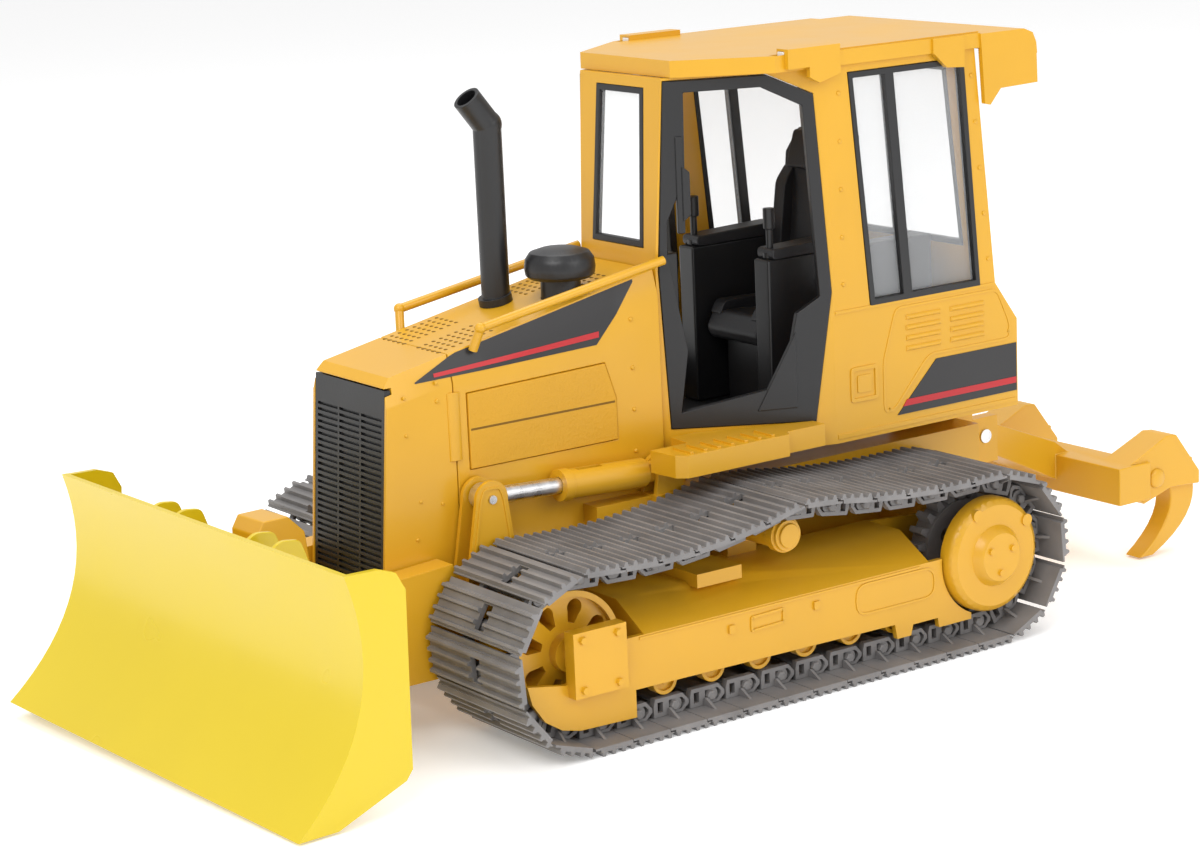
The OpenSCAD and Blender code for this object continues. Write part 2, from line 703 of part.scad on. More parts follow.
module cab_roof() {
    front = cab_front_y + 6;
    wide_y = door_end_y - 22;
    step_y = cab_rear_top_y + 1.5;
    rear = cab_rear_top_y + 27;
    out = cab_half_w + 0.5;
    top = roof_z + roof_t;
    color(yellow) difference() {
        union() {
            translate([0, 0, roof_z + 0.2]) linear_extrude(roof_t) polygon([[-25, front], [25, front],
                [out, wide_y],
                [out, step_y], [-out, step_y], [-out, wide_y]]);
            across(-out - 1.8, 2 * out + 3.6) polygon([[step_y - 0.5, top - 2.4], [step_y - 0.5,
                top - 0.6], [rear - 6, top - 0.6],
                [rear - 2, top - 2.2], [rear - 0.4, top - 5.6], [rear, roof_z - 4], [rear - 1.8,
                    roof_z - 4],
                [rear - 2.4, top - 6.4], [rear - 6.4, top - 2.4]]);
            both_sides() {
                box([out - 4, out + 1.8], [wide_y + 4, wide_y + 26], [roof_z + 1, top + 2]);
                across(out, 1.8) polygon([[wide_y + 13, roof_z - 2.4], [wide_y + 17, roof_z - 4.5],
                    [wide_y + 26, roof_z - 2.1],
                    [wide_y + 26, top + 2], [wide_y + 13, top + 2]]);
                box([out - 0.5, out + 1], [wide_y + 25, step_y], [roof_z + 0.2, top - 0.3]);
                across(out, 1.8) polygon([[step_y - 22, roof_z + 0.4], [step_y - 16, roof_z - 5],
                    [step_y - 8, roof_z - 5.6],
                    [step_y - 8, top - 0.4], [step_y - 22, top - 0.4]]);
                across(out, 1.8) polygon([[step_y + 1, roof_z - 19], [step_y + 3.5, roof_z - 19.6],
                    [step_y + 8.4, roof_z - 14.4],
                    [rear, roof_z - 14], [rear - 0.4, top - 5.6], [rear - 2, top - 2.2], [rear - 6,
                        top - 0.6], [step_y - 0.5, top - 0.6]]);
            }
        }
        both_sides() box([out - 3.4, out - 0.2], [wide_y, wide_y + 8], [roof_z + 1.8, top + 1.2]);
    }
}

module roof_lights() {
    y = door_end_y - 22;
    x = cab_half_w + 0.5;
    color(lamp_white) both_sides() box([x - 3.3, x - 0.3], [y + 3.6, y + 7.9], [roof_z + 1.9,
        roof_z + roof_t + 1.1]);
}

// ---- Inside the cab ----

floor_z = body_low + 4.2;

module cab_floor() {
    color(black) {
        translate([0, 0, floor_z]) linear_extrude(3) plan_shape(wall + 0.3);
        box([-12, 12], [door_end_y - 2, cab_rear_y - 26], [floor_z + 2.9, floor_z + 25]);
    }
}

module console() {
    z0 = floor_z + 3.1;
    color(black) {
        box([-15, 15], [cab_front_y + 5, cab_front_y + 14], [z0, 138]);
        both_sides() box([17, 25], [door_end_y - 12, cab_rear_y - 12], [z0, 132]);
    }
}

module levers() {
    z0 = 132.1;
    color(black) both_sides() translate([21, door_end_y - 8, z0]) {
        cylinder(h = 2, r = 2.4);
        cylinder(h = 15, r = 1.2);
        translate([0, 0, 10]) cylinder(h = 7, r = 2);
    }
}

module seat() {
    z0 = floor_z + 25.3;
    y0 = door_end_y - 8;
    color(black) across(-14.5, 29) polygon([[y0, z0 + 1], [y0 - 1.5, z0 + 5], [y0 + 2, z0 + 11],
        [y0 + 30, z0 + 9], [y0 + 36, z0 + 62],
        [y0 + 42, z0 + 70], [y0 + 47, z0 + 69], [y0 + 41, z0 + 8], [y0 + 37, z0], [y0 + 5, z0]]);
}

module steps() {
    top = body_low + 9;
    front = cab_front_y;
    rear = door_end_y - 8;
    color(yellow) both_sides() {
        difference() {
            translate([0, 0, top - 7.5]) linear_extrude(7.5) polygon([[36, front - 16], [48, front - 15],
                [51, front - 12],
                [51, front + 30], [47.6, front + 32], [47.6, rear], [41.4, rear], [25.8, front + 9.5],
                    [25.8, front], [36, front - 1]]);
            box([20, 35.8], [front - 20, front + 8], [0, top - 3.6]);
            box([37.6, 48.6], [front - 12.4, front + 28], [0, top - 2]);
        }
        for (i = [0:6]) box([40, 49.6], [front - 10 + 5.6 * i, front - 8.6 + 5.6 * i], [top - 0.4,
            top + 0.7]);
    }
}

module decals() {
    color(decal_grey) both_sides() {
        across(cab_half_w + 0.02, 0.3) polygon([[door_end_y + 27, 75], [door_end_y + 45, 92.5],
            [body_rear_y - 0.5, 92.5], [body_rear_y - 0.5, 75]]);
        shoulder_plate();
    }
}

module shoulder_plate() {
    y0 = nose_y + nose_depth + 14;
    len = cab_front_y - y0 - 6;
    tilt = atan(shoulder_w / shoulder_h);
    translate([hood_half_w - shoulder_w + 0.06, y0, hood_top(y0)]) rotate([atan(hood_slope), 0, 0])
        rotate([0, -tilt, 0])
        rotate([90, 0, 90]) linear_extrude(0.3) polygon([[0, -0.6], [len, -0.6], [len - 12,
            -shoulder_h + 0.2], [9, -shoulder_h + 0.2]]);
}

// ---- Blade and lift ----

module c_frame() {
    color(yellow) difference() {
        union() {
            both_sides() {
                box([arm_in, arm_out], [yoke_y + yoke_back + 4, pivot_y + 7], [19, 40]);
                across(arm_in, arm_out - arm_in) polygon([[yoke_y + yoke_back + 6, 39.5],
                    [yoke_y + yoke_back + 6, 53], [-6, 55], [-1, 39.5]]);
                for (x = [arm_in, arm_out - ear_t])
                    across(x, ear_t) union() {
                        polygon([[-2, 39], [20, 39], [ear_y + 5.6, ear_z + 2], [ear_y - 5.6, ear_z + 2]]);
                        translate([ear_y, ear_z]) circle(r = 6);
                    }
            }
            box([-arm_out, arm_out], [yoke_y + yoke_back, yoke_y + yoke_back + 9], [21, 42]);
            box([-5, 5], [yoke_y, yoke_y + yoke_back + 1], [26, 42]);
            translate([0, yoke_y, 26]) cylinder(h = 20, r = 6.4);
        }
        both_sides() {
            rod_x(arm_in - 1, 12, pivot_r + shaft_gap, pivot_y, pivot_z);
            rod_x(arm_in - 1, 12, lift_pin_r + 0.01, ear_y, ear_z);
        }
        translate([0, yoke_y, 20]) cylinder(h = 30, r = yoke_r + shaft_gap);
    }
}

module arm_pins() {
    color(steel) both_sides() rod_x(arm_in + 0.1, arm_out - arm_in + 0.6, lift_pin_r, ear_y, ear_z);
}

lift_dir = atan2(ear_z - barrel_z, barrel_y - ear_y);
lift_len = norm([ear_z - barrel_z, barrel_y - ear_y]);
// Frame of reference of a lift cylinder: X runs from the rear pin forwards
module at_cylinder() { translate([lift_x, barrel_y, barrel_z]) rotate([0, 0, -90]) rotate([0, -lift_dir,
    0]) children(); }

module lift_barrel(side) {
    color(yellow) on_side(side) at_cylinder() difference() {
        union() {
            translate([8, 0, 0]) rotate([0, 90, 0]) cylinder(h = 33, r = barrel_r);
            translate([38, 0, 0]) rotate([0, 90, 0]) cylinder(h = 3.6, r = barrel_r + 0.4);
            translate([0, 2.2, 0]) rotate([90, 0, 0]) cylinder(h = 4.4, r = 3.6);
            translate([0, -2.2, -3]) cube([10, 4.4, 6]);
        }
        translate([12, 0, 0]) rotate([0, 90, 0]) cylinder(h = 40, r = rod_r + shaft_gap);
        translate([0, 5, 0]) rotate([90, 0, 0]) cylinder(h = 10, r = lift_pin_r + shaft_gap);
        translate([25, -1.5, 0]) cube([10, 3, 10]);
    }
}

module lift_rod(side) {
    color(steel) on_side(side) at_cylinder() difference() {
        union() {
            translate([lift_len - rod_len, 0, 0]) rotate([0, 90, 0]) cylinder(h = rod_len - 3, r = rod_r);
            translate([lift_len, 0, 0]) rotate([90, 0, 0]) translate([0, 0, -2.2]) cylinder(h = 4.4,
                r = eye_r);
        }
        translate([lift_len, 5, 0]) rotate([90, 0, 0]) cylinder(h = 10, r = eye_hole_r);
    }
}

// The blade stands at its own angle and tilt about the yoke pin
module as_angled(tilt) {
    translate([0, yoke_y, yoke_z]) rotate([0, tilt, blade_angle]) translate([0, -yoke_y, -yoke_z])
        children();
}

module blade_yoke() {
    color(yellow) as_angled(0) difference() {
        union() {
            for (z = [21.2, 47]) {
                translate([0, yoke_y, z]) cylinder(h = 4, r = 6.4);
                box([-6.4, 6.4], [yoke_y - 15, yoke_y], [z, z + 4]);
            }
            box([-8, 8], [yoke_y - 15, yoke_y - 7.4], [21.2, 51]);
        }
        translate([0, yoke_y, 20]) cylinder(h = 40, r = yoke_r + 0.01);
        translate([0, yoke_y - 6, yoke_z]) rotate([90, 0, 0]) cylinder(h = 14, r = 2.5 + shaft_gap);
    }
}

module yoke_pin() {
    color(steel) translate([0, yoke_y, 21.5]) cylinder(h = 29, r = yoke_r);
}

// Concave face of the blade, from the cutting edge to the top
function blade_face() = [for (i = [0:16]) let (t = i / 16)
    [bez(blade_edge_y, blade_edge_y + 38, blade_top_y, t), edge_z + bez(0, blade_h * 0.42, blade_h, t)]];

module blade_shape() {
    back = [for (i = [16:-1:0]) let (t = i / 16)
        [bez(blade_edge_y + 3.5, blade_edge_y + 38 + plate_t * 1.4, blade_top_y + plate_t, t),
            edge_z + bez(0, blade_h * 0.40, blade_h, t)]];
    polygon(concat(blade_face(), back));
}

module cheek_shape() {
    rear = blade_top_y + cheek_d;
    polygon(concat(blade_face(), [[blade_top_y + 12, edge_z + blade_h - 0.4], [rear - 3,
        edge_z + blade_h - 2.5],
        [rear, edge_z + blade_h - 8], [rear - 2.5, edge_z + 12], [rear - 5, edge_z + 9],
            [blade_edge_y + 14, edge_z]]));
}

// Front outline of the blade, narrower at the top
module blade_front(inset) {
    low = blade_half_w - inset;
    top = low - blade_taper;
    along(blade_edge_y - 10, 90) polygon([[-low, 0], [low, 0], [top, edge_z + blade_h + 1], [-top,
        edge_z + blade_h + 1]]);
}

module blade() {
    back = yoke_y - 15.4;
    color(blade_yellow) as_angled(blade_tilt) {
        intersection() {
            blade_front(0);
            union() {
                across(-blade_half_w, 2 * blade_half_w) blade_shape();
                difference() {
                    across(-blade_half_w, 2 * blade_half_w) cheek_shape();
                    blade_front(plate_t);
                }
            }
        }
        difference() {
            union() {
                both_sides() across(30, 10) polygon([[blade_top_y - 4, 18], [blade_top_y + 10, 22],
                    [blade_top_y + 12, 62], [blade_top_y + 8, 69], [blade_top_y - 2, 70]]);
                across(-7, 14) polygon([[blade_top_y - 4, 20], [back, 26], [back, 48], [blade_top_y + 12,
                    67], [blade_top_y - 2, 70]]);
            }
            across(-60, 120) polygon(concat(blade_face(), [[blade_top_y - 40, edge_z + blade_h],
                [blade_top_y - 40, edge_z]]));
        }
        translate([0, yoke_y - 7.8, yoke_z]) rotate([90, 0, 0]) cylinder(h = 12, r = 2.5);
    }
}

// ---- Ripper ----

module ripper_frame() {
    color(yellow) difference() {
        union() {
            across(-12.4, 24.8) polygon([[rip_y - 4, rip_z - 4], [rip_y - 4, rip_z + 3], [rip_y,
                rip_z + 5], [rip_y + 5, rip_z + 4], [beam_y - 8, beam_z + 12],
                [beam_y, beam_z + 6], [beam_y, beam_z - 4], [beam_y - 9, beam_z - 2], [rip_y + 2,
                    rip_z - 6]]);
            box([-shank_half_gap - 8, shank_half_gap + 8], [beam_y - 8, beam_y + 8], [beam_z - 7,
                beam_z + 7]);
            both_sides() across(shank_half_gap - 6.5, 13) polygon([[beam_y - 6, beam_z + 5],
                [beam_y + 18, beam_z + 15], [beam_y + 23, beam_z + 14.5],
                [beam_y + 35, beam_z - 1], [beam_y + 35, beam_z - 6], [beam_y + 20, beam_z - 5],
                    [beam_y + 6, beam_z - 9]]);
        }
        rod_x(-14, 28, rip_pin_r + shaft_gap, rip_y, rip_z);
        both_sides() box([shank_half_gap - shank_w / 2 - 0.02, shank_half_gap + shank_w / 2 + 0.02],
            [beam_y + 20, beam_y + 40], [beam_z - 20, beam_z + 4]);
    }
}

module ripper_shank(side) {
    steps = 8;
    top = beam_z + 3.9;
    y0 = beam_y + 20.1;
    outer = [for (i = [0:steps]) let (s = i / steps) [bez(y0 + 14, y0 + 18, y0 - 7, s), bez(top - 8, 12,
        tip_z, s)]];
    inner = [for (i = [steps:-1:0]) let (s = i / steps) [bez(y0 + 1, y0 + 7, y0 - 14, s), bez(top - 8,
        14, tip_z, s)]];
    color(yellow) on_side(side) across(shank_half_gap - shank_w / 2, shank_w)
        polygon(concat([[y0, top], [y0 + 14, top]], outer, inner));
}

centred() chassis();
centred() pivot_pins();
centred() radiator_shell();
centred() grille();
centred() hood();
centred() side_panels();
centred() exhaust_pipe();
centred() air_cleaner();
centred() handrails();
centred() cab_shell();
centred() cab_roof();
centred() roof_lights();
centred() window_frames();
centred() window_panes();
centred() cab_floor();
centred() console();
centred() levers();
centred() seat();
centred() steps();
centred() decals();
centred() c_frame();
centred() arm_pins();
centred() blade_yoke();
centred() yoke_pin();
centred() blade();
centred() ripper_frame();
for (s = sides) {
    centred() track_frame(s);
    centred() final_drive(s);
    centred() track_links(s);
    centred() track_shoes(s);
    centred() door_frame(s);
    centred() idler(s);
    centred() sprocket(s);
    centred() carrier_roller(s);
    centred() lift_barrel(s);
    centred() lift_rod(s);
    centred() ripper_shank(s);
    for (i = [1:roller_count])
        centred() track_roller(s, i);
}
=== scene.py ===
import json
from math import atan2, cos, pi, radians, sin

import bmesh
import bpy
from mathutils import Matrix, Vector


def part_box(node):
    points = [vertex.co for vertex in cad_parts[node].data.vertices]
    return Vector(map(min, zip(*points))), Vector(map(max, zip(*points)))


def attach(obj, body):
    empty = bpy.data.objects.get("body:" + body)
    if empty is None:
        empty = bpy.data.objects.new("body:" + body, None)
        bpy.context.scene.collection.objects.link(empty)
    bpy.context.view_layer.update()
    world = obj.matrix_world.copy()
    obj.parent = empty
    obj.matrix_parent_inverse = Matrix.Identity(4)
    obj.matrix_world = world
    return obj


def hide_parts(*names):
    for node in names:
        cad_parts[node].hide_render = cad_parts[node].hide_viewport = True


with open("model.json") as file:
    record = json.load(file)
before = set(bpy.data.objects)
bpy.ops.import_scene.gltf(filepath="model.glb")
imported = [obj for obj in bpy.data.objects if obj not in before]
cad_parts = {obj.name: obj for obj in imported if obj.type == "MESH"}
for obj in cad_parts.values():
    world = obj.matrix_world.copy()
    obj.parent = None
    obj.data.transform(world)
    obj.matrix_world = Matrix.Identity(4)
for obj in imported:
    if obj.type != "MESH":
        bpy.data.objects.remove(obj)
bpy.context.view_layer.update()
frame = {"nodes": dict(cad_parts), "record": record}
nodes = frame["nodes"]
sides = ("left", "right")
mm = 0.001

# Places below are millimetres from the point where the front of the tracks meets the ground
idlerLow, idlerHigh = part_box("idler_left")
yShift = (idlerLow[1] + idlerHigh[1]) / 2 - 11.5 * mm


def place(x, y, z):
    return Vector((x * mm, y * mm + yShift, z * mm))


def mirrored(side):
    return 1 if side == "left" else -1


# Materials

def nodeTree(name):
    mat = bpy.data.materials.new(name)
    mat.use_nodes = True
    tree = mat.node_tree
    return mat, tree, tree.nodes["Principled BSDF"]


def objectNoise(tree, scale, detail=3, roughness=0.5):
    coords = tree.nodes.new("ShaderNodeTexCoord")
    noise = tree.nodes.new("ShaderNodeTexNoise")
    noise.inputs["Scale"].default_value = scale
    noise.inputs["Detail"].default_value = detail
    noise.inputs["Roughness"].default_value = roughness
    tree.links.new(coords.outputs["Object"], noise.inputs["Vector"])
    return noise


def ramp(tree, source, low, high, colours):
    node = tree.nodes.new("ShaderNodeValToRGB")
    node.color_ramp.elements[0].position = low
    node.color_ramp.elements[1].position = high
    for stop, colour in zip(node.color_ramp.elements, colours):
        stop.color = (*colour, 1)
    tree.links.new(source, node.inputs["Fac"])
    return node


def addBump(tree, shader, source, strength, distance):
    bump = tree.nodes.new("ShaderNodeBump")
    bump.inputs["Strength"].default_value = strength
    bump.inputs["Distance"].default_value = distance
    tree.links.new(source, bump.inputs["Height"])
    tree.links.new(bump.outputs["Normal"], shader.inputs["Normal"])
    return bump


def mouldedPlastic(name, look):
    # Moulded plastic: one colour with a faint cloudiness, an uneven gloss and a slight ripple
    mat, tree, shader = nodeTree(name)
    cloud = objectNoise(tree, look.get("cloudScale", 35), 2)
    dark = [c * (1 - look.get("cloud", 0.05)) for c in look["colour"]]
    tint = ramp(tree, cloud.outputs["Fac"], 0.3, 0.7, (dark, look["colour"]))
    tree.links.new(tint.outputs["Color"], shader.inputs["Base Color"])
    gloss = ramp(tree, cloud.outputs["Fac"], 0.25, 0.75,
                 ([look["rough"] - 0.04] * 3, [look["rough"] + 0.05] * 3))
    tree.links.new(gloss.outputs["Color"], shader.inputs["Roughness"])
    shader.inputs["Specular IOR Level"].default_value = look.get("specular", 0.5)
    shader.inputs["Coat Weight"].default_value = look.get("coat", 0.0)
    shader.inputs["Coat Roughness"].default_value = 0.15
    grain = objectNoise(tree, look.get("grainScale", 900), 2)
    addBump(tree, shader, grain.outputs["Fac"], look.get("grain", 0.06), 0.0002)
    return mat


looks = {
    "bodyYellow": {"colour": (0.68, 0.355, 0.012), "rough": 0.34, "coat": 0.15},
    "bladeYellow": {"colour": (0.67, 0.50, 0.006), "rough": 0.3, "coat": 0.2, "cloud": 0.02},
    "blackPlastic": {"colour": (0.012, 0.012, 0.013), "rough": 0.38, "grain": 0.1},
    "seatBlack": {"colour": (0.016, 0.016, 0.018), "rough": 0.45, "grain": 0.35, "grainScale": 1500},
    "trackGrey": {"colour": (0.225, 0.215, 0.213), "rough": 0.5, "cloud": 0.3, "cloudScale": 70,
                  "grain": 0.2},
    "lampWhite": {"colour": (0.86, 0.86, 0.84), "rough": 0.25},
    "panelYellow": {"colour": (0.66, 0.335, 0.012), "rough": 0.5, "grain": 0.9, "grainScale": 1100},
    "stripeRed": {"colour": (0.50, 0.012, 0.018), "rough": 0.4},
    "decalDark": {"colour": (0.022, 0.021, 0.022), "rough": 0.42, "grain": 0.15},
    # The dark brown below is painted shade for the hood's holes, standing in for the shade inside each hole;
    # the panel seam line uses the same colour as a dark joint
    "holeShadeAndSeamDark": {"colour": (0.20, 0.10, 0.006), "rough": 0.8},
}
materials = {name: mouldedPlastic(name, look) for name, look in looks.items()}


def brushedSteel():
    mat, tree, shader = nodeTree("brushedSteel")
    shader.inputs["Metallic"].default_value = 1
    noise = objectNoise(tree, 300, 4)
    tint = ramp(tree, noise.outputs["Fac"], 0.3, 0.7, ((0.62, 0.62, 0.63), (0.82, 0.82, 0.83)))
    tree.links.new(tint.outputs["Color"], shader.inputs["Base Color"])
    gloss = ramp(tree, noise.outputs["Fac"], 0.3, 0.7, ([0.22] * 3, [0.38] * 3))
    tree.links.new(gloss.outputs["Color"], shader.inputs["Roughness"])
    return mat


def clearPane():
    mat, tree, shader = nodeTree("clearPane")
    shader.inputs["Base Color"].default_value = (0.80, 0.82, 0.84, 1)
    shader.inputs["Roughness"].default_value = 0.06
    shader.inputs["Alpha"].default_value = 0.16
    return mat


materials["brushedSteel"] = brushedSteel()
materials["clearPane"] = clearPane()
print("materials made")


# Helpers for shaping

def addPiece(name, mesh, material, body):
    obj = bpy.data.objects.new(name, mesh)
    bpy.context.scene.collection.objects.link(obj)
    if material:
        mesh.materials.clear()
        mesh.materials.append(materials[material])
    if body:
        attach(obj, body)
    return obj


def smoothByAngle(bm, limit=radians(32)):
    for face in bm.faces:
        face.smooth = True
    for edge in bm.edges:
        edge.smooth = len(edge.link_faces) == 2 and edge.calc_face_angle(pi) < limit


def addBevel(obj, width, segments=2, limit=32):
    bevel = obj.modifiers.new("edges", "BEVEL")
    bevel.width = width * mm
    bevel.segments = segments
    bevel.limit_method = "ANGLE"
    bevel.angle_limit = radians(limit)
    bevel.use_clamp_overlap = True
    bevel.harden_normals = True
    return bevel


def bodyOf(node):
    for name, members in frame["record"]["behaviour"]["bodies"].items():
        if node in members:
            return name


def softened(node, material, width):
    # A copy of a solid with its loose triangles merged, and its edges rounded as a mould leaves them
    mesh = nodes[node].data.copy()
    bm = bmesh.new()
    bm.from_mesh(mesh)
    bmesh.ops.remove_doubles(bm, verts=bm.verts, dist=0.002 * mm)
    bmesh.ops.dissolve_limit(bm, angle_limit=radians(0.6), verts=bm.verts, edges=bm.edges)
    smoothByAngle(bm)
    bm.to_mesh(mesh)
    bm.free()
    obj = addPiece(node + "_moulded", mesh, material, bodyOf(node))
    addBevel(obj, width)
    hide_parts(node)
    return obj


def repaint(node, material):
    mesh = nodes[node].data
    mesh.materials.clear()
    mesh.materials.append(materials[material])


# Which solids keep their shape, what they are made of, and how round their edges are
finishes = {
    "chassis": ("bodyYellow", 0.6), "radiator_shell": ("bodyYellow", 1.0), "hood": ("bodyYellow", 0.5),
    "side_panels": ("panelYellow", 0.3), "cab_shell": ("bodyYellow", 0.5), "cab_roof": ("bodyYellow", 0),
    "steps": ("bodyYellow", 0.3), "handrails": ("bodyYellow", 0), "grille": ("blackPlastic", 0.1),
    "exhaust_pipe": ("blackPlastic", 0.3), "air_cleaner": ("blackPlastic", 0.3),
    "roof_lights": ("lampWhite", 0.2), "window_frames": ("blackPlastic", 0.3),
    "cab_floor": ("blackPlastic", 0.4), "console": ("blackPlastic", 0.8), "levers": ("blackPlastic", 0.3),
    "seat": ("seatBlack", 1.5), "decals": ("decalDark", 0), "c_frame": ("bodyYellow", 0.5),
    "blade_yoke": ("bodyYellow", 0.4), "blade": ("bladeYellow", 0.4), "ripper_frame": ("bodyYellow", 0.7),
    "pivot_pins": ("brushedSteel", 0), "arm_pins": ("brushedSteel", 0), "yoke_pin": ("brushedSteel", 0),
    "window_panes": ("clearPane", 0),
}
for side in sides:
    finishes.update({
        "track_frame_" + side: ("bodyYellow", 0.5), "final_drive_" + side: ("bodyYellow", 0.4),
        "idler_" + side: ("bodyYellow", 0.3), "carrier_roller_" + side: ("bodyYellow", 0.3),
        "door_frame_" + side: ("blackPlastic", 0.4), "sprocket_" + side: ("trackGrey", 0.2),
        "track_links_" + side: ("trackGrey", 0), "track_shoes_" + side: ("trackGrey", 0.12),
        "lift_barrel_" + side: ("bodyYellow", 0.3), "lift_rod_" + side: ("brushedSteel", 0.2),
        "ripper_shank_" + side: ("bodyYellow", 0.7)})
    for number in range(1, 7):
        finishes[f"track_roller_{side}_{number}"] = ("bodyYellow", 0.2)

for node, (material, width) in finishes.items():
    if width:
        softened(node, material, width)
    else:
        repaint(node, material)
print("solids finished")


# Repeated details

def scatterTree():
    # Places one shape on every point, turned as the point says, with a very slight difference in size
    tree = bpy.data.node_groups.new("scatter", "GeometryNodeTree")
    face = tree.interface
    face.new_socket("Points", in_out="INPUT", socket_type="NodeSocketGeometry")
    face.new_socket("Shape", in_out="INPUT", socket_type="NodeSocketObject")
    face.new_socket("Size", in_out="INPUT", socket_type="NodeSocketFloat")
    face.new_socket("Spread", in_out="INPUT", socket_type="NodeSocketFloat")
    face.new_socket("Seed", in_out="INPUT", socket_type="NodeSocketInt")
    face.new_socket("Material", in_out="INPUT", socket_type="NodeSocketMaterial")
    face.new_socket("Geometry", in_out="OUTPUT", socket_type="NodeSocketGeometry")
    add, link = tree.nodes.new, tree.links.new
    start, end = add("NodeGroupInput"), add("NodeGroupOutput")
    shape, turn = add("GeometryNodeObjectInfo"), add("GeometryNodeInputNamedAttribute")
    turn.data_type = "FLOAT_VECTOR"
    turn.inputs["Name"].default_value = "turn"
    put = add("GeometryNodeInstanceOnPoints")
    spread, low, high = add("FunctionNodeRandomValue"), add("ShaderNodeMath"), add("ShaderNodeMath")
    low.operation, high.operation = "SUBTRACT", "ADD"
    for node in (low, high):
        link(start.outputs["Size"], node.inputs[0])
        link(start.outputs["Spread"], node.inputs[1])
    spread.data_type = "FLOAT"
    link(low.outputs[0], spread.inputs[2])
    link(high.outputs[0], spread.inputs[3])
    link(start.outputs["Seed"], spread.inputs["Seed"])
    link(start.outputs["Points"], put.inputs["Points"])
    link(start.outputs["Shape"], shape.inputs["Object"])
    link(shape.outputs["Geometry"], put.inputs["Instance"])
    link(turn.outputs["Attribute"], put.inputs["Rotation"])
    link(spread.outputs[1], put.inputs["Scale"])
    solid, paint = add("GeometryNodeRealizeInstances"), add("GeometryNodeSetMaterial")
    link(put.outputs["Instances"], solid.inputs["Geometry"])
    link(solid.outputs["Geometry"], paint.inputs["Geometry"])
    link(start.outputs["Material"], paint.inputs["Material"])
    link(paint.outputs["Geometry"], end.inputs["Geometry"])
    return tree


scatterNodes = scatterTree()


def scatter(name, template, spots, material, body, size=1.0, seed=4):
    # spots: (place, turn) pairs; the result is one plain mesh that rides on its body
    mesh = bpy.data.meshes.new(name)
    mesh.from_pydata([tuple(spot) for spot, turn in spots], [], [])
    attribute = mesh.attributes.new("turn", "FLOAT_VECTOR", "POINT")
    for item, (spot, turn) in zip(attribute.data, spots):
        item.vector = turn
    base = bpy.data.objects.new(name + "_spots", mesh)
    bpy.context.scene.collection.objects.link(base)
    stamp = bpy.data.objects.new(name + "_stamp", template)
    bpy.context.scene.collection.objects.link(stamp)
    modifier = base.modifiers.new("scatter", "NODES")
    modifier.node_group = scatterNodes
    values = {"Shape": stamp, "Size": size, "Spread": 0.01 * size, "Seed": seed,
              "Material": materials[material]}
    for item in scatterNodes.interface.items_tree:
        if item.item_type == "SOCKET" and item.in_out == "INPUT" and item.name in values:
            modifier[item.identifier] = values[item.name]
    bpy.context.view_layer.update()
    graph = bpy.context.evaluated_depsgraph_get()
    result = bpy.data.meshes.new_from_object(base.evaluated_get(graph))
    base.modifiers.clear()
    bpy.data.objects.remove(base)
    bpy.data.objects.remove(stamp)
    return addPiece(name, result, material, body)


def bridge(bm, loops):
    # Walls between rings of corners, and a cap on each end
    count = len(loops[0])
    for low, high in zip(loops, loops[1:]):
        for k in range(count):
            bm.faces.new((low[k], low[(k + 1) % count], high[(k + 1) % count], high[k]))
    bm.faces.new(loops[-1])
    bm.faces.new(loops[0][::-1])


def meshFrom(name, bm, smooth=None):
    bmesh.ops.recalc_face_normals(bm, faces=bm.faces)
    if smooth:
        smoothByAngle(bm, smooth)
    mesh = bpy.data.meshes.new(name)
    bm.to_mesh(mesh)
    bm.free()
    return mesh


rootDepth = 0.15


def dome(radius, height, sides=14, flat=0.6):
    # A rivet head that stands on the plane x = 0, with its root a little below it
    bm = bmesh.new()
    rings = [(radius, -rootDepth), (radius, height * 0.35), (radius * 0.86, height * 0.8),
             (radius * flat, height)]
    bridge(bm, [[bm.verts.new((h * mm, r * mm * cos(2 * pi * k / sides), r * mm * sin(2 * pi * k / sides)))
                 for k in range(sides)] for r, h in rings])
    return meshFrom("dome", bm, radians(50))


def bar(width, length, height, bevel):
    # A low bar on the plane x = 0 that runs along y, with chamfered edges
    bm = bmesh.new()
    w, n = width / 2, length / 2
    bridge(bm, [[bm.verts.new((h * mm, y * mm, z * mm)) for y, z in (
        (-n + d, -w + d), (n - d, -w + d), (n - d, w - d), (-n + d, w - d))]
        for h, d in ((-rootDepth, 0), (height - bevel, 0), (height, bevel))])
    return meshFrom("bar", bm)


def bothFaces(spots, x):
    # The same spots on the left face and, turned about, on the right one
    return [(place(sign * x, y, z), (0, 0, 0 if sign > 0 else pi)) for sign in (1, -1) for y, z in spots]


def rounded(corners, radius, steps=4):
    # An outline with its corners rounded
    points = []
    count = len(corners)
    for i in range(count):
        a, b, c = (Vector(corners[(i + k) % count]) for k in (-1, 0, 1))
        for k in range(steps + 1):
            t = k / steps
            start = b + (a - b).normalized() * min(radius, (a - b).length / 2)
            end = b + (c - b).normalized() * min(radius, (c - b).length / 2)
            points.append(tuple(start * (1 - t) ** 2 + b * 2 * t * (1 - t) + end * t ** 2))
    return points


def inset(outline, gap):
    # The outline moved inwards by a gap
    result = []
    count = len(outline)
    area = sum(outline[i][0] * outline[(i + 1) % count][1] - outline[(i + 1) % count][0] * outline[i][1]
               for i in range(count))
    turn = 1 if area > 0 else -1
    for i in range(count):
        a, b, c = (Vector(outline[(i + k) % count]) for k in (-1, 0, 1))
        first, second = (b - a).normalized(), (c - b).normalized()
        normal = Vector((-first.y - second.y, first.x + second.x)) * turn
        result.append(tuple(b + normal.normalized() * gap / max(0.4, normal.length / 2)))
    return result


